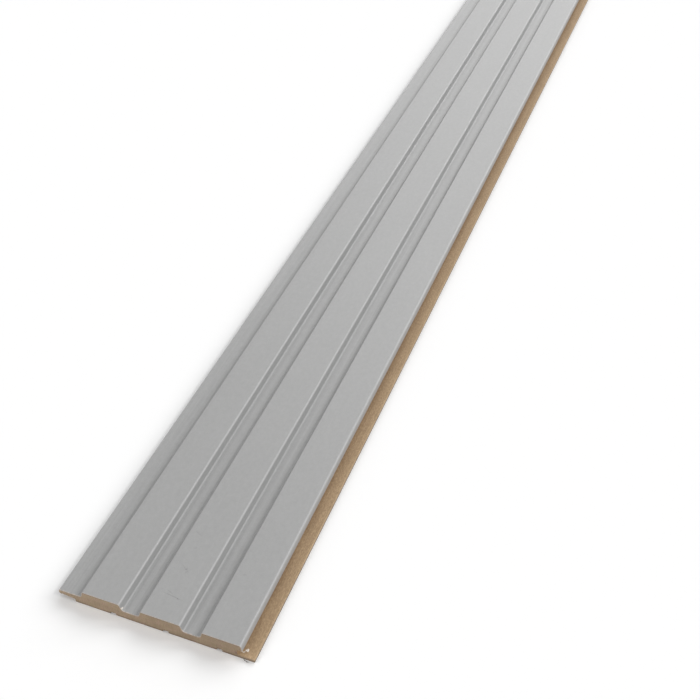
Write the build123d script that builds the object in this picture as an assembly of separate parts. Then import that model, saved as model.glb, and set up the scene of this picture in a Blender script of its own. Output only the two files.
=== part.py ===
"""Tongue and groove wall panel, a length of stock moulded from one piece of MDF.

The board lies on its back with its face up. X runs across the board from the tongue to the
ledge, Y along it, and Z is the thickness. The origin is on the back, at the middle of the
board's length and of its overall width. Every size is in millimetres.
"""
from build123d import *

import os
from math import radians, tan

# The board as it is sold
length = 2700.0
thickness = 12.0            # from the back to the tops of the slats
slat_count = 3
outer_slat_width = 25.1     # the slats' widths count from corner to corner, before they are rounded
middle_slat_width = 26.2

# The groove between two slats. One knife shape cuts every groove, and a half of it is left on
# each edge of the board, so that the joint of two boards looks like any other groove.
groove_width = 14.4         # between the tops of two slats, before their corners are rounded
joint_groove_width = 14.8   # the same, where two boards are joined
groove_depth = 5.3
shoulder_lean = 18.0        # degrees from upright, on the slat's ogee side
shoulder_radius = 1.5       # the round at the top of the ogee
foot_radius = 1.6           # the hollow at the foot of the ogee
wall_lean = 15.0            # degrees from upright, on the slat's steep side
arris_radius = 0.6
cove_radius = 2.4           # the hollow at the foot of the steep side

# The joint: the tongue of the next board lies on this board's ledge, under the last slat's lip
first_slat = 6.0            # from the body's edge to the steep side of the first slat
ledge_thickness = 2.4
lip_lean = 10.0             # degrees from upright
slot_depth = 3.6            # how far the slot goes in under the lip
joint_clearance = 0.2       # above and below the tongue, and beside the ledge
tip_clearance = 0.4         # in front of the tongue's tip
tongue_rise = 0.8           # how much higher the underside of the tongue is at its tip
tip_radius = 1.2
lip_arris = 0.4
ledge_arris = 0.5
back_arris = 0.4

# The saw kerfs along the back, which keep the board flat
kerf_count = 3
kerf_width = 3.9
kerf_depth = 1.7
kerf_tongue_margin = 26.0   # from the body's edge to the middle of the first kerf
kerf_ledge_margin = 23.0    # from the middle of the last kerf to the ledge's edge

# Levels above the back
groove_floor = thickness - groove_depth
lip_underside = groove_floor + joint_clearance
tongue_root = ledge_thickness + joint_clearance
tongue_tip_underside = tongue_root + tongue_rise

# Places across the board, counted from the body's edge at the root of the tongue
slat_widths = [outer_slat_width] + [middle_slat_width] * (slat_count - 2) + [outer_slat_width]
slatted_width = sum(slat_widths) + groove_width * (slat_count - 1)
cover_width = slatted_width + joint_groove_width
wall_run = groove_depth * tan(radians(wall_lean))
shoulder_run = groove_depth * tan(radians(shoulder_lean))
lip_shoulder = first_slat + slatted_width
lip_foot = lip_shoulder + (thickness - lip_underside) * tan(radians(lip_lean))
slot_back = lip_foot - slot_depth
ledge_edge = cover_width - joint_clearance
tongue_length = cover_width - slot_back - tip_clearance
middle = (ledge_edge - tongue_length) / 2

# No round is larger than a half of the wall that it is cut on
largest_round = 0.49 * groove_depth
shoulder_round = min(shoulder_radius, largest_round)
foot_round = min(foot_radius, largest_round)
arris_round = min(arris_radius, largest_round)
cove_round = min(cove_radius, largest_round)
tip_round = min(tip_radius, 0.45 * (groove_floor - tongue_tip_underside))
ledge_round = min(ledge_arris, 0.45 * ledge_thickness)
back_round = min(back_arris, 0.45 * ledge_thickness)


def section_corners():
    """The corners of the section, clockwise from the back, each with the radius that rounds it."""
    corners = [
        (0, 0, back_round),
        (0, tongue_root, 0),
        (-tongue_length, tongue_tip_underside, tip_round),
        (-tongue_length, groove_floor, tip_round),
    ]
    left = first_slat
    for slat, slat_width in enumerate(slat_widths):
        right = left + slat_width
        corners.append((left - wall_run, groove_floor, cove_round))
        corners.append((left, thickness, arris_round))
        corners.append((right, thickness, shoulder_round))
        if slat < slat_count - 1:
            corners.append((right + shoulder_run, groove_floor, foot_round))
        left = right + groove_width
    corners += [
        (lip_foot, lip_underside, lip_arris),
        (slot_back, lip_underside, 0),
        (slot_back, ledge_thickness, 0),
        (ledge_edge, ledge_thickness, ledge_round),
        (ledge_edge, 0, back_round),
    ]
    return corners


def kerf_places():
    """The middles of the kerfs, evenly spaced between the two margins."""
    first = kerf_tongue_margin
    last = ledge_edge - kerf_ledge_margin
    step = (last - first) / max(kerf_count - 1, 1)
    return [first + kerf * step for kerf in range(kerf_count)]


def moulded_board():
    """The section, drawn across the board and drawn out to its length."""
    corners = section_corners()
    with BuildPart() as board:
        with BuildSketch(Plane.XZ):
            with BuildLine():
                points = [(x - middle, z) for x, z, radius in corners]
                FilletPolyline(*points, radius=[radius for x, z, radius in corners], close=True)
            make_face()
            with Locations(*[(x - middle, kerf_depth / 2) for x in kerf_places()]):
                Rectangle(kerf_width, kerf_depth, mode=Mode.SUBTRACT)
        extrude(amount=length / 2, both=True)
    return board.part


os.makedirs("parts", exist_ok=True)
export_step(moulded_board(), "parts/wall_panel.step")
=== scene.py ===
from math import radians, tan

import bmesh
import bpy
from mathutils import Matrix, Vector, noise


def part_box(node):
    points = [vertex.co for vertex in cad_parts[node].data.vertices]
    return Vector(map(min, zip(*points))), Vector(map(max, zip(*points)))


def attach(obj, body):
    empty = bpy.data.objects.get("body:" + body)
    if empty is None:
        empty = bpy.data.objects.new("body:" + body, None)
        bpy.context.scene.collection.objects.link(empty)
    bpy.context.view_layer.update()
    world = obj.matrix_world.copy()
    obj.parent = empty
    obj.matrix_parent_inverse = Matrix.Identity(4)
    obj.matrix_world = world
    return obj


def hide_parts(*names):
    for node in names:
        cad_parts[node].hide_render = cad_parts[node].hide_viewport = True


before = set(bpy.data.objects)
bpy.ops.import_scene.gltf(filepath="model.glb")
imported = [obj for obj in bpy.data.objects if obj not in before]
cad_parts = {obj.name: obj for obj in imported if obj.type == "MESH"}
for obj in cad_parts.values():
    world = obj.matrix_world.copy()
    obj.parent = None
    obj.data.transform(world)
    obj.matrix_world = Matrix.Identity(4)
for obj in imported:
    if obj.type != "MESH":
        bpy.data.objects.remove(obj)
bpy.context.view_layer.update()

# The board. One length of fibreboard, moulded along its whole length by shaped knives and then
# sawn square. The knives leave three flat slats, each with a steep side and an ogee side, a
# tongue on one edge, and on the other edge the slot and the ledge that such a tongue fits.
mm = 0.001
low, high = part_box("wall_panel")
thickness = high.z - low.z
slat_widths = [25.1 * mm, 26.2 * mm, 25.1 * mm]
groove_width = 14.4 * mm
joint_groove_width = 14.8 * mm
groove_depth = 5.3 * mm
shoulder_lean = radians(18)           # from upright, on a slat's ogee side
shoulder_radius = 1.5 * mm
foot_radius = 1.6 * mm
wall_lean = radians(15)               # from upright, on a slat's steep side
arris_radius = 0.6 * mm
cove_radius = 2.4 * mm
first_slat = 6.0 * mm
ledge_thickness = 2.4 * mm
lip_lean = radians(10)
slot_depth = 3.6 * mm
joint_clearance = 0.2 * mm
tongue_rise = 0.8 * mm
tip_radius = 1.2 * mm
lip_arris = 0.4 * mm
ledge_arris = 0.5 * mm
back_arris = 0.4 * mm
kerf_count = 3
kerf_width = 3.9 * mm
kerf_depth = 1.7 * mm
kerf_tongue_margin = 26.0 * mm
kerf_ledge_margin = 23.0 * mm
coat_thickness = 0.4 * mm
coat_under_tongue = 1.7 * mm          # how far the coat goes in under the tongue's tip
coat_under_lip = 1.1 * mm

groove_floor = thickness - groove_depth
lip_underside = groove_floor + joint_clearance
tongue_root = ledge_thickness + joint_clearance
slatted_width = sum(slat_widths) + groove_width * (len(slat_widths) - 1)
cover_width = slatted_width + joint_groove_width
lip_shoulder = first_slat + slatted_width
lip_foot = lip_shoulder + (thickness - lip_underside) * tan(lip_lean)
slot_back = lip_foot - slot_depth
ledge_edge = cover_width - joint_clearance
body_edge = high.x - ledge_edge       # where the section's own places across are counted from
tongue_tip = low.x - body_edge


def section_corners():
    """The section's corners, clockwise: across, up, radius, and whether what follows is coated."""
    coat_start = tongue_tip + coat_under_tongue
    start_height = tongue_root + tongue_rise * coat_start / tongue_tip
    corners = [
        (0, 0, back_arris, False),
        (0, tongue_root, 0, False),
        (coat_start, start_height, 0, True),
        (tongue_tip, tongue_root + tongue_rise, tip_radius, True),
        (tongue_tip, groove_floor, tip_radius, True),
    ]
    left = first_slat
    for slat, slat_width in enumerate(slat_widths):
        right = left + slat_width
        corners.append((left - groove_depth * tan(wall_lean), groove_floor, cove_radius, True))
        corners.append((left, thickness, arris_radius, True))
        corners.append((right, thickness, shoulder_radius, True))
        if slat < len(slat_widths) - 1:
            corners.append((right + groove_depth * tan(shoulder_lean), groove_floor, foot_radius, True))
        left = right + groove_width
    corners += [
        (lip_foot, lip_underside, lip_arris, True),
        (lip_foot - coat_under_lip, lip_underside, 0, False),
        (slot_back, lip_underside, 0, False),
        (slot_back, ledge_thickness, 0, False),
        (ledge_edge, ledge_thickness, ledge_arris, False),
        (ledge_edge, 0, back_arris, False),
    ]
    last_kerf = ledge_edge - kerf_ledge_margin
    kerf_step = (last_kerf - kerf_tongue_margin) / (kerf_count - 1)
    for kerf in range(kerf_count):
        middle = last_kerf - kerf * kerf_step
        corners.append((middle + kerf_width / 2, 0, 0, False))
        corners.append((middle + kerf_width / 2, kerf_depth, 0, False))
        corners.append((middle - kerf_width / 2, kerf_depth, 0, False))
        corners.append((middle - kerf_width / 2, 0, 0, False))
    return corners


round_segments = 9
row_spacing = 30 * mm
end_rows = [0.3 * mm, 0.7 * mm, 1.2 * mm, 2 * mm, 4 * mm, 8 * mm, 15 * mm]
same_place = 1e-7                     # metres, the most that two points taken as one are apart
bare = 0                              # the material slots of the skin's faces
coated = 1


def moulded_skin():
    """The whole outside of the section, drawn out along the board and open at both ends."""
    corners = section_corners()
    skin = bmesh.new()
    ring = [skin.verts.new((x + body_edge, low.y, z)) for x, z, radius, coat in corners]
    sides = [skin.edges.new((ring[place - 1], ring[place])) for place in range(len(ring))]
    drawn = bmesh.ops.extrude_edge_only(skin, edges=sides)["geom"]
    far_ring = [part for part in drawn if isinstance(part, bmesh.types.BMVert)]
    bmesh.ops.translate(skin, verts=far_ring, vec=(0, high.y - low.y, 0))
    for place, corner in enumerate(corners):
        sides[(place + 1) % len(corners)].link_faces[0].material_index = coated if corner[3] else bare
    for place, (x, z, radius, coat) in enumerate(corners):
        if radius == 0:
            continue
        before = Vector((x, z)) - Vector(corners[place - 1][:2])
        after = Vector(corners[(place + 1) % len(corners)][:2]) - Vector((x, z))
        at_corner = [edge for edge in skin.edges
                     if all((v.co.xz - Vector((x + body_edge, z))).length < same_place for v in edge.verts)]
        bmesh.ops.bevel(skin, geom=at_corner, offset=radius * tan(before.angle(after) / 2),
                        offset_type="OFFSET", affect="EDGES", segments=round_segments, profile=0.5,
                        material=-1, clamp_overlap=False)
    rows = [low.y + row for row in end_rows] + [high.y - row for row in end_rows]
    rows += [low.y + row_spacing * step for step in range(1, round((high.y - low.y) / row_spacing))]
    for row in rows:
        everything = skin.verts[:] + skin.edges[:] + skin.faces[:]
        bmesh.ops.bisect_plane(skin, geom=everything, plane_co=(0, row, 0), plane_no=(0, 1, 0),
                               dist=same_place)
    bmesh.ops.reverse_faces(skin, faces=skin.faces)
    skin.normal_update()
    return skin


def finished_mesh(name, shape, sharp_angle=radians(30)):
    """Turns a bmesh into an object whose curved stretches shade smoothly."""
    mesh = bpy.data.meshes.new(name)
    for face in shape.faces:
        face.smooth = True
    shape.to_mesh(mesh)
    shape.free()
    mesh.set_sharp_from_angle(angle=sharp_angle)
    made = bpy.data.objects.new(name, mesh)
    bpy.context.scene.collection.objects.link(made)
    return made


moulded_slot = 0                      # the board's own material slots
sawn_slot = 1
sanded_slot = 2
film_overlap = 0.97                   # under the film the board reaches a little way into it

core_shape = moulded_skin()
under_coat = {vert for face in core_shape.faces if face.material_index == coated for vert in face.verts}
for vert in under_coat:
    vert.co -= vert.normal * coat_thickness * film_overlap
for face in core_shape.faces:
    face.material_index = moulded_slot
open_ends = [edge for edge in core_shape.edges if edge.is_boundary]
caps = bmesh.ops.holes_fill(core_shape, edges=open_ends, sides=0)["faces"]
for face in caps:
    face.material_index = sawn_slot
bmesh.ops.recalc_face_normals(core_shape, faces=core_shape.faces)
board = finished_mesh("board", core_shape)
for face in board.data.polygons:
    if face.material_index == sawn_slot:
        face.use_smooth = False
    elif face.normal.z < -0.99 and face.center.z < 0.1 * mm:
        face.material_index = sanded_slot


class Wire:
    """One output in a material's nodes. A plain sum on it adds the Math nodes that work it out."""

    def __init__(self, tree, socket):
        self.tree = tree
        self.socket = socket

    def node(self, kind, settings, sockets, output=0):
        """Adds a node of a kind, sets its settings, then its sockets, and gives one of its outputs."""
        made = self.tree.nodes.new(kind)
        stops = settings.pop("stops", None)
        for name, value in settings.items():
            setattr(made, name, value)
        if stops:
            ramp = made.color_ramp
            for extra in range(len(stops) - 2):
                ramp.elements.new(0.5)
            for element, (place, colour) in zip(ramp.elements, stops):
                element.position = place
                element.color = (*colour, 1)
        for name, value in sockets.items():
            if isinstance(value, Wire):
                self.tree.links.new(value.socket, made.inputs[name])
            else:
                made.inputs[name].default_value = value
        return Wire(self.tree, made.outputs[output])

    def maths(self, operation, first, second):
        return self.node("ShaderNodeMath", {"operation": operation}, {0: first, 1: second})

    def __add__(self, other):
        return self.maths("ADD", self, other)

    __radd__ = __add__

    def __mul__(self, other):
        return self.maths("MULTIPLY", self, other)

    __rmul__ = __mul__

    def __sub__(self, other):
        return self.maths("SUBTRACT", self, other)

    def __rsub__(self, other):
        return self.maths("SUBTRACT", other, self)

    def unsigned(self):
        """This number without its sign."""
        return self.maths("ABSOLUTE", self, 0)

    def greater(self, other):
        """The larger of two numbers."""
        return self.maths("MAXIMUM", self, other)

    def band(self, start, end):
        """0 before start and 1 after end, with a smooth step between them."""
        return self.node("ShaderNodeMapRange", {"interpolation_type": "SMOOTHSTEP"},
                         {"Value": self, "From Min": start, "From Max": end})

    def blend(self, first, second):
        """The first colour where this wire is 0, and the second where it is 1."""
        return self.node("ShaderNodeMix", {"data_type": "RGBA"}, {0: self, 6: first, 7: second}, output=2)

    def ramp(self, *stops):
        """The colour that the stops give this number."""
        return self.node("ShaderNodeValToRGB", {"stops": stops}, {0: self})

    def times(self, other):
        """This vector or colour, with each of its numbers multiplied by the other's."""
        return self.node("ShaderNodeVectorMath", {"operation": "MULTIPLY"}, {0: self, 1: other})

    def stretched(self, x, y, z):
        """This place as a pattern sees it that is finer along an axis where its number is larger."""
        return self.times((x, y, z))

    def noise(self, scale, detail=2.0, roughness=0.5):
        return self.node("ShaderNodeTexNoise", {}, {"Vector": self, "Scale": scale, "Detail": detail,
                                                    "Roughness": roughness})

    def part(self, axis):
        return self.node("ShaderNodeSeparateXYZ", {}, {0: self}, output="XYZ".index(axis))

    def mark(self, centre, halves, turn=0.0):
        """1 in the middle of an oval mark and 0 outside it: its centre, half sizes, and turn in degrees."""
        inside = self.node("ShaderNodeMapping", {"vector_type": "TEXTURE"}, {
            "Vector": self, "Location": centre, "Rotation": (0, 0, radians(turn)), "Scale": halves})
        away = inside.node("ShaderNodeVectorMath", {"operation": "LENGTH"}, {0: inside}, output=1)
        return 1 - away.band(0.35, 1.0)

    def relief(self, strength, depth):
        """The bumps that this height gives the surface. The depth is in metres."""
        return self.node("ShaderNodeBump", {}, {"Height": self, "Strength": strength, "Distance": depth})


def finish(name, build, **constants):
    """A material with constants on its sockets, and the wires that build works out from a place in
    millimetres, counted from the body's edge at the root of the tongue, the near end and the floor."""
    material = bpy.data.materials.new(name)
    material.use_nodes = True
    tree = material.node_tree
    surface = tree.nodes["Principled BSDF"]
    for socket, value in constants.items():
        surface.inputs[socket.replace("_", " ")].default_value = value
    start = tree.nodes.new("ShaderNodeTexCoord")
    place = Wire(tree, start.outputs["Object"]).times((1 / mm, 1 / mm, 1 / mm))
    place = place.node("ShaderNodeVectorMath", {"operation": "SUBTRACT"},
                       {0: place, 1: (body_edge / mm, low.y / mm, 0)})
    for socket, wire in build(place).items():
        tree.links.new(wire.socket, surface.inputs[socket])
    return material


def moulded_fibre(place):
    """Fibreboard cut along its length by knives: warm brown, with short fibres and faint streaks. Painted
    light on the ledge: painted shade keeps it darker near the lip and lighter towards its outer arris,
    which carries a painted highlight, and painted shade darkens the ledge's side."""
    # The colour of the painted shade on the ledge's side.
    side_shade_colour = (0.075, 0.060, 0.045, 1)
    ledge_side = ledge_edge / mm
    ledge_top = ledge_thickness / mm
    across = place.part("X")
    height_up = place.part("Z")
    flecks = place.stretched(1.3, 0.45, 1.3).noise(1.0, 5.0, 0.7)
    fibres = place.stretched(5.0, 0.35, 5.0).noise(1.0, 3.0, 0.7)
    streaks = place.stretched(1.6, 0.012, 1.6).noise(1.0, 3.0, 0.6)
    clouds = place.stretched(0.3, 0.05, 0.3).noise(1.0, 2.0)
    # The ledge's outer arris is painted paler: a painted highlight.
    by_side = across.band(ledge_side - 0.9, ledge_side - 0.5)
    arris = by_side * height_up.band(ledge_top - 0.7, ledge_top - 0.2)
    # The ledge's outer side is darkened with painted shade.
    on_side = across.band(ledge_side - 0.3, ledge_side - 0.05)
    side_shade = on_side * (1 - height_up.band(ledge_top - 0.9, ledge_top - 0.3))
    # The ledge is painted lighter away from the lip: painted shade along the lip's foot.
    over_ledge = across.band(112.0, 120.0)
    tone = flecks * 0.58 + fibres * 0.12 + streaks * 0.15 + clouds * 0.15
    tone = tone + over_ledge * 0.03 + arris * 0.05
    colour = tone.ramp(
        (0.30, (0.215, 0.138, 0.076)),
        (0.50, (0.385, 0.262, 0.150)),
        (0.70, (0.600, 0.440, 0.270)),
    )
    colour = (side_shade * 0.75).blend(colour, side_shade_colour)
    height = flecks * 0.6 + fibres * 0.2 + streaks * 0.2
    return {"Base Color": colour, "Normal": height.relief(0.55, 0.15 * mm)}


def sawn_fibre(place):
    """The sawn end: dull, with fine tooth marks, a little darker towards the ledge. It is denser and
    darker close under the slats' tops, darker along the bottom for its denser layer and a painted
    contact shadow, and stained at the back of the slot."""
    slat_top = thickness / mm
    stain_place = (108.6, 0, 3.9)
    stain_halves = (2.2, 5, 1.7)
    stain_colour = (0.30, 0.185, 0.150, 1)
    height_up = place.part("Z")
    grains = place.stretched(1.6, 1.0, 2.2).noise(1.0, 5.0, 0.68)
    clouds = place.stretched(0.10, 1.0, 0.25).noise(1.0, 2.0)
    warm = place.node("ShaderNodeTexNoise", {"noise_dimensions": "4D"}, {
        "Vector": place.stretched(0.22, 1.0, 0.4), "W": 3.0, "Scale": 1.0, "Detail": 2.0})
    teeth = place.stretched(3.0, 1.0, 0.10).noise(1.0, 2.0)
    under_top = height_up.band(slat_top - 1.6, slat_top - 0.5)
    # Along the bottom the end is darker, partly for the denser layer and partly as a painted contact
    # shadow.
    bottom = 1 - height_up.band(0.2, 2.2)
    tone = grains * 0.55 + clouds * 0.20 + teeth * 0.25 - under_top * 0.10 - bottom * 0.13
    colour = tone.ramp(
        (0.28, (0.170, 0.122, 0.085)),
        (0.50, (0.405, 0.306, 0.206)),
        (0.70, (0.540, 0.430, 0.310)),
    )
    to_ledge = place.part("X").band(0.0, 118.0)
    blotched = warm.band(0.35, 0.65).blend((0.98, 1.005, 0.95, 1), (1.03, 0.985, 1.02, 1))
    # The end is made lighter on the tongue's side and darker towards the ledge.
    darker_toward_ledge = to_ledge.blend((1.12, 1.10, 1.11, 1), (0.94, 0.92, 0.92, 1))
    colour = colour.times(blotched).times(darker_toward_ledge)
    colour = (place.mark(stain_place, stain_halves) * 0.8).blend(colour, stain_colour)
    height = grains * 0.7 + teeth * 0.3
    return {"Base Color": colour, "Normal": height.relief(0.6, 0.15 * mm)}


def sanded_back(place):
    """The back, flattened on a wide belt: paler and smoother, with fine straight sanding scratches."""
    flecks = place.noise(1.8, 4.0, 0.65)
    scratches = place.stretched(7.0, 0.03, 1.0).noise(1.0, 3.0, 0.6)
    clouds = place.stretched(0.03, 0.012, 1.0).noise(1.0, 3.0)
    tone = flecks * 0.5 + scratches * 0.25 + clouds * 0.25
    colour = tone.ramp(
        (0.32, (0.300, 0.205, 0.125)),
        (0.50, (0.440, 0.325, 0.210)),
        (0.68, (0.560, 0.440, 0.310)),
    )
    height = flecks * 0.5 + scratches * 0.5
    return {"Base Color": colour, "Normal": height.relief(0.3, 0.1 * mm)}


board.data.materials.append(finish("moulded_fibre", moulded_fibre, Roughness=0.75))
board.data.materials.append(finish("sawn_fibre", sawn_fibre, Roughness=0.9))
board.data.materials.append(finish("sanded_back", sanded_back, Roughness=0.8))
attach(board, "root")
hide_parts("wall_panel")

# The face coat. A grey film on the tongue's top, the slats, the grooves and the lip, laid on
# after the moulding and sawn through with the board, so that its pale edge shows at the ends.
column_spacing = 1.1 * mm
column_margin = 0.05 * mm             # no cut is made this near to one that is there

coat_shape = moulded_skin()
not_coated = [face for face in coat_shape.faces if face.material_index == bare]
bmesh.ops.delete(coat_shape, geom=not_coated, context="FACES")
across = low.x + column_spacing
while across < high.x:
    flat = [face for face in coat_shape.faces if abs(face.normal.z) > 0.99]
    edges = {edge for face in flat for edge in face.edges}
    verts = {vert for face in flat for vert in face.verts}
    bmesh.ops.bisect_plane(coat_shape, geom=list(verts) + list(edges) + flat, plane_co=(across, 0, 0),
                           plane_no=(1, 0, 0), dist=column_margin)
    across += column_spacing
for face in coat_shape.faces:
    face.material_index = 0
coat = finished_mesh("face_coat", coat_shape)
shell = coat.modifiers.new("coat_thickness", "SOLIDIFY")
shell.thickness = coat_thickness
shell.offset = -1
shell.use_even_offset = True
shell.material_offset_rim = 1

scuffs = [
    ((58.0, 17.4, 12), (9.0, 0.45, 2), -6.5, 0.8),    # centre and half sizes in mm, turn, depth of tone
    ((62.4, 16.7, 12), (1.3, 0.8, 2), 10, 1.0),
    ((55.6, 19.6, 12), (3.4, 0.45, 2), -20, 0.7),
    ((56.8, 38.2, 12), (1.4, 1.1, 2), 0, 0.6),
    ((56.0, 38.6, 12), (5.5, 0.40, 2), -32, 0.6),
    ((58.5, 36.9, 12), (4.4, 0.40, 2), 58, 0.5),
    ((92.5, 47.0, 12), (1.8, 0.7, 2), 15, 0.5),
    ((51.5, 66.0, 12), (3.8, 0.5, 2), -25, 0.5),
    ((55.3, 54.9, 12), (1.5, 0.8, 2), 20, 0.4),
    ((20.0, 37.5, 12), (0.9, 0.9, 2), 0, -0.7),
]


def grey_coat(place):
    """Semi-gloss grey with a fine orange peel and faint streaks along its length, stronger in the grooves.
    It carries painted light: lighter and darker stripes painted along the groove floors, a painted
    shadow beside each slat's steep side, a painted highlight on the slats' ogee arrises and painted
    shade on the slopes. It is lightly scuffed on the slats near the end, most of all on the middle one,
    and torn pale along both saw cuts."""
    mid_grey = 0.362
    torn_fibre = (0.64, 0.55, 0.48, 1)
    groove_level = groove_floor / mm
    slat_level = thickness / mm
    board_length = (high.y - low.y) / mm
    peel = place.noise(0.9, 3.0, 0.55)
    grain = place.noise(1.4, 2.0, 0.7)
    mottle = place.stretched(0.05, 0.02, 0.05).noise(1.0, 3.0)
    streaks = place.stretched(0.9, 0.01, 0.9).noise(1.0, 3.0, 0.6)
    speckle = place.stretched(0.35, 0.25, 0.35).noise(1.0, 4.0, 0.75)
    height_up = place.part("Z")
    in_groove = 1 - height_up.band(groove_level + 0.8, slat_level - 1.0)
    off_floor = height_up.band(groove_level + 0.3, groove_level + 1.1)
    # The sides of the slats and lip, between the groove floor and the slat tops, are darkened a little with
    # painted shade.
    slope_shade = off_floor * (1 - height_up.band(slat_level - 1.4, slat_level - 0.6))
    shade = mid_grey + (mottle - 0.5) * 0.02 + (streaks - 0.5) * (0.015 + in_groove * 0.08)
    shade = shade + (grain - 0.5) * 0.07 + (speckle - 0.5) * 0.08 - slope_shade * 0.030
    across = place.part("X")
    left = first_slat / mm
    for slat_width in slat_widths:
        right = left + slat_width / mm
        # Painted light and shade in stripes along each groove: a painted lighter stripe mid-floor, a
        # painted shadow beside the slat's steep side, a painted highlight on its ogee arris, and painted
        # shade at the ogee's foot and just past it.
        painted_light_stripes = [
            (left - 7.2, 0.3, 1.5, 0.25),             # where, its core and edge half widths, depth of tone
            (left - 2.6, 1.1, 1.4, -0.30),
            (right - 0.1, 0.2, 0.9, 1.0),
            (right + 1.9, 0.2, 1.0, -0.5),
            (right + 4.1, 0.3, 1.0, -0.25),
        ]
        for middle, core, edge, depth in painted_light_stripes:
            away = (across - middle).unsigned()
            shade = shade * (1 + (1 - away.band(core, edge)) * depth * 0.12)
        left = right + groove_width / mm
    scuffed = 0
    for centre, halves, turn, depth in scuffs:
        scuffed = place.mark(centre, halves, turn) * depth + scuffed
    scuffed = scuffed * place.noise(1.1, 2.0).band(0.30, 0.50)
    shade = shade * (1 - scuffed * 0.26)
    colour = shade.node("ShaderNodeCombineColor", {}, {0: shade, 1: shade, 2: shade * 0.995})
    along = place.part("Y")
    cut = 1 - along.band(0.2, 0.8) + along.band(board_length - 0.8, board_length - 0.2)
    cut = cut * place.stretched(0.8, 0.1, 0.8).noise(1.0, 3.0, 0.6).band(0.38, 0.55)
    colour = (cut * (0.38 + in_groove * 0.42)).blend(colour, torn_fibre)
    roughness = 0.34 + (peel - 0.5) * 0.08 + (streaks - 0.5) * 0.08 + scuffed * 0.2
    height = peel * 0.7 + grain * 0.3 - scuffed * 0.4
    return {"Base Color": colour, "Roughness": roughness, "Normal": height.relief(0.3, 0.05 * mm)}


def coat_edge(place):
    """The film's own pale, slightly ragged thickness, where the saw went through it."""
    ragged = place.noise(1.6, 3.0, 0.6)
    colour = ragged.band(0.35, 0.65).blend((0.42, 0.34, 0.26, 1), (0.68, 0.59, 0.49, 1))
    return {"Base Color": colour}


coat.data.materials.append(finish("grey_coat", grey_coat, IOR=1.5))
coat.data.materials.append(finish("coat_edge", coat_edge, Roughness=0.7))
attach(coat, "root")

# The torn slivers. Thin shreds of the film that the saw broke out at the near end: a curl on the
# lip's foot, a flake that lies on the ledge and a chip on the first ogee. They are still stuck to
# the fibres there, and show the pale primer on the film's back.
sliver_thickness = 0.14 * mm
sliver_rows = 24
sliver_columns = 4
raggedness = 0.5                      # the share of its width that a sliver gains or loses
tear_frequency = 2.3                  # how often that changes along it


def torn_sliver(name, path, across, widths, material):
    """A thin ragged strip along a path in mm, wide in one direction and as wide as widths says there."""
    shape = bmesh.new()
    bmesh.ops.create_grid(shape, x_segments=sliver_rows, y_segments=sliver_columns, size=0.5)
    runs = len(path) - 1
    for vert in shape.verts:
        reach = (vert.co.x + 0.5) * runs
        run = min(int(reach), runs - 1)
        middle = Vector(path[run]).lerp(Vector(path[run + 1]), reach - run)
        width = widths[run] + (widths[run + 1] - widths[run]) * (reach - run)
        width *= 1 + raggedness * noise.noise(Vector((reach * tear_frequency, vert.co.y, path[0][0])))
        vert.co = (middle + Vector(across).normalized() * vert.co.y * width) * mm
    bmesh.ops.translate(shape, verts=shape.verts, vec=(body_edge, low.y, 0))
    made = finished_mesh(name, shape, sharp_angle=radians(80))
    body = made.modifiers.new("sliver_thickness", "SOLIDIFY")
    body.thickness = sliver_thickness
    body.offset = 0
    made.data.materials.append(material)
    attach(made, "root")
    return made


def film_back(place):
    """The film's back and torn edge: a chalky white primer with specks of brown fibre stuck to it."""
    stuck_fibre = (0.50, 0.36, 0.22, 1)
    chalk = place.noise(2.5, 3.0, 0.6)
    specks = place.noise(4.0, 2.0, 0.5).band(0.58, 0.66)
    colour = chalk.band(0.3, 0.7).blend((0.86, 0.80, 0.72, 1), (0.98, 0.93, 0.86, 1))
    colour = (specks * 0.6).blend(colour, stuck_fibre)
    return {"Base Color": colour, "Normal": chalk.relief(0.4, 0.08 * mm)}


primer = finish("film_back", film_back, Roughness=0.7)

lip_curl_path = [
    (112.05, 0.3, 7.15),
    (112.35, 0.12, 7.0),
    (112.95, 0.12, 6.95),
    (113.45, 0.7, 7.0),
    (113.6, 1.6, 7.15),
    (113.45, 2.3, 7.3),
]
lip_curl = torn_sliver("lip_curl", lip_curl_path, (0.15, 0, 1), [0.35, 0.5, 0.5, 0.45, 0.35, 0.15], primer)

ledge_flake_path = [
    (112.8, 3.8, 2.45),
    (113.05, 4.4, 2.48),
    (113.3, 5.0, 2.55),
    (113.5, 5.7, 2.65),
]
ledge_flake = torn_sliver("ledge_flake", ledge_flake_path, (1, -0.35, 0), [1.5, 1.9, 1.5, 0.5], primer)

ogee_chip_path = [
    (32.2, 0.1, 8.5),
    (32.55, 0.5, 8.35),
    (32.75, 1.1, 8.3),
    (32.7, 1.8, 8.4),
]
ogee_chip = torn_sliver("ogee_chip", ogee_chip_path, (0.35, 0, -1), [1.3, 1.5, 1.2, 0.3], primer)

# The frayed fibre. The saw pulled one dark fibre out of the bottom of the sawn end, and it lies
# kinked on the ground in front of the ledge.
frayed_fibre_path = [
    (112.3, 0.15, 0.50),
    (112.8, -0.30, 0.25),
    (113.5, -0.95, 0.12),
    (114.2, -0.85, 0.18),
    (114.9, -1.30, 0.12),
    (115.8, -1.10, 0.15),
    (116.4, -0.90, 0.12),
]
frayed_fibre_widths = [0.25, 0.3, 0.35, 0.22, 0.35, 0.25, 0.12]


def dark_fibre(place):
    """A single scorched wood fibre, nearly black, mottled along its length."""
    mottled = place.noise(2.0, 2.0)
    colour = mottled.band(0.35, 0.65).blend((0.10, 0.085, 0.07, 1), (0.20, 0.17, 0.14, 1))
    return {"Base Color": colour}


frayed_fibre = torn_sliver("frayed_fibre", frayed_fibre_path, (0, 1, 0.5), frayed_fibre_widths,
                           finish("dark_fibre", dark_fibre, Roughness=0.85))

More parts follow.
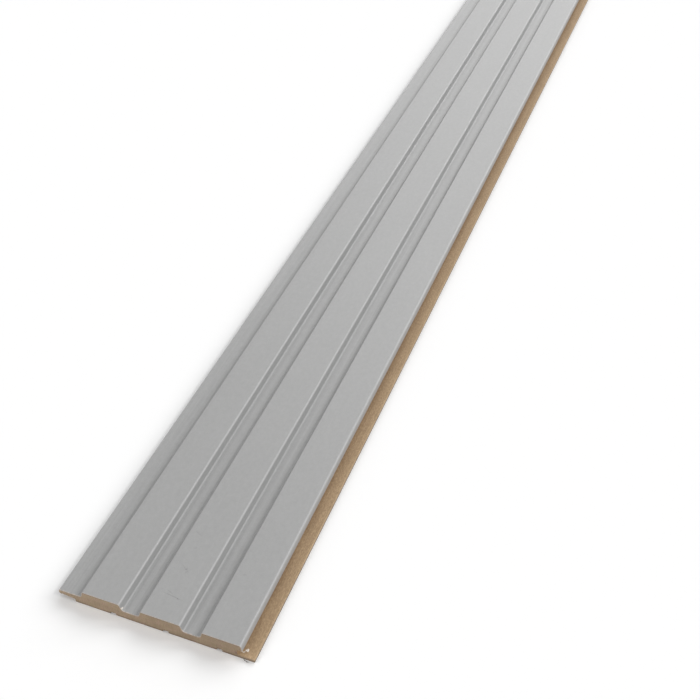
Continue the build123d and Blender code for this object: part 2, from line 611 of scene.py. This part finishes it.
# The floor. A plain pale ground for the board to lie on. The camera and the board's gloss see it
# nearly white, and the light that it throws back on the board is duller.
floor_size = 30.0
floor_gap = 0.05 * mm                 # below the board's back, so that the two faces don't meet
floor_seen = (0.98, 0.98, 0.98, 1)
floor_bounce = (0.80, 0.80, 0.80, 1)
floor_glow = 0.07                     # lifts the ground that is seen to white
floor_shape = bmesh.new()
bmesh.ops.create_grid(floor_shape, x_segments=2, y_segments=2, size=floor_size / 2)
bmesh.ops.translate(floor_shape, verts=floor_shape.verts, vec=(0, 0, -floor_gap))
floor = finished_mesh("floor", floor_shape)
floor_material = bpy.data.materials.new("pale_floor")
floor_material.use_nodes = True
floor_tree = floor_material.node_tree
floor_rays = floor_tree.nodes.new("ShaderNodeLightPath")
rays = Wire(floor_tree, floor_rays.outputs["Is Camera Ray"])
rays = rays.greater(Wire(floor_tree, floor_rays.outputs["Is Glossy Ray"]))
bounced = rays.node("ShaderNodeBsdfDiffuse", {}, {"Color": floor_bounce})
ground = rays.node("ShaderNodeBsdfDiffuse", {}, {"Color": floor_seen})
glow = rays.node("ShaderNodeEmission", {}, {"Color": (1, 1, 1, 1), "Strength": floor_glow})
seen = rays.node("ShaderNodeAddShader", {}, {0: ground, 1: glow})
mixed = rays.node("ShaderNodeMixShader", {}, {0: rays, 1: bounced, 2: seen})
floor_tree.links.new(mixed.socket, floor_tree.nodes["Material Output"].inputs["Surface"])
floor.data.materials.append(floor_material)

# The light. A pale even tent, and soft lamps all round the board. The strongest are behind it and
# to its right, so that the slats' right arrises shine and the soft shadow falls in front.
tent_level = 0.28
world = bpy.data.worlds.new("tent")
bpy.context.scene.world = world
world.use_nodes = True
background = world.node_tree.nodes["Background"]
background.inputs["Color"].default_value = (1, 1, 1, 1)
sky_rays = world.node_tree.nodes.new("ShaderNodeLightPath")
sky = Wire(world.node_tree, sky_rays.outputs["Is Camera Ray"])
sky = sky.greater(Wire(world.node_tree, sky_rays.outputs["Is Glossy Ray"]))
level = sky * (1 - tent_level) + tent_level
world.node_tree.links.new(level.socket, background.inputs["Strength"])
lamps = [
    ("back_lamp", 0.79, 40, 37, 0),          # strength, then width, height and turn in degrees
    ("back_right_lamp", 0.71, 30, 25, -30),
    ("low_right_lamp", 0.62, 20, 25, -60),
    ("right_lamp", 0.26, 10, 40, -60),
    ("high_right_lamp", 0.52, 8, 50, -90),
    ("front_left_lamp", 0.55, 30, 25, 150),
    ("left_lamp", 0.42, 10, 40, 120),
]
for lamp_name, lamp_level, lamp_width, lamp_height, lamp_turn in lamps:
    lamp_data = bpy.data.lights.new(lamp_name, "SUN")
    lamp_data.energy = lamp_level
    lamp_data.angle = radians(lamp_width)
    lamp = bpy.data.objects.new(lamp_name, lamp_data)
    lamp.matrix_world = (Matrix.Rotation(radians(lamp_turn), 4, "Z")
                         @ Matrix.Rotation(radians(lamp_height) - radians(90), 4, "X"))
    bpy.context.scene.collection.objects.link(lamp)

# The camera. It stands in front of the near end and to its right, and looks down on the board.
image_width = 700                     # in pixels
focal_length = 1110.9                 # in pixels of that image
camera_place = Vector((body_edge + 294.9 * mm, low.y - 319.3 * mm, 569.3 * mm))
camera_turn = radians(20.27)
camera_tilt = radians(90 - 41.91)
camera_roll = radians(0.552)
camera_data = bpy.data.cameras.new("camera")
camera_data.sensor_width = 36.0
camera_data.lens = focal_length / image_width * camera_data.sensor_width
camera = bpy.data.objects.new("camera", camera_data)
camera.matrix_world = (Matrix.Translation(camera_place) @ Matrix.Rotation(camera_turn, 4, "Z")
                       @ Matrix.Rotation(camera_tilt, 4, "X") @ Matrix.Rotation(camera_roll, 4, "Z"))
bpy.context.scene.collection.objects.link(camera)
bpy.context.scene.camera = camera
bpy.context.scene.view_settings.view_transform = "Standard"

bpy.context.view_layer.update()
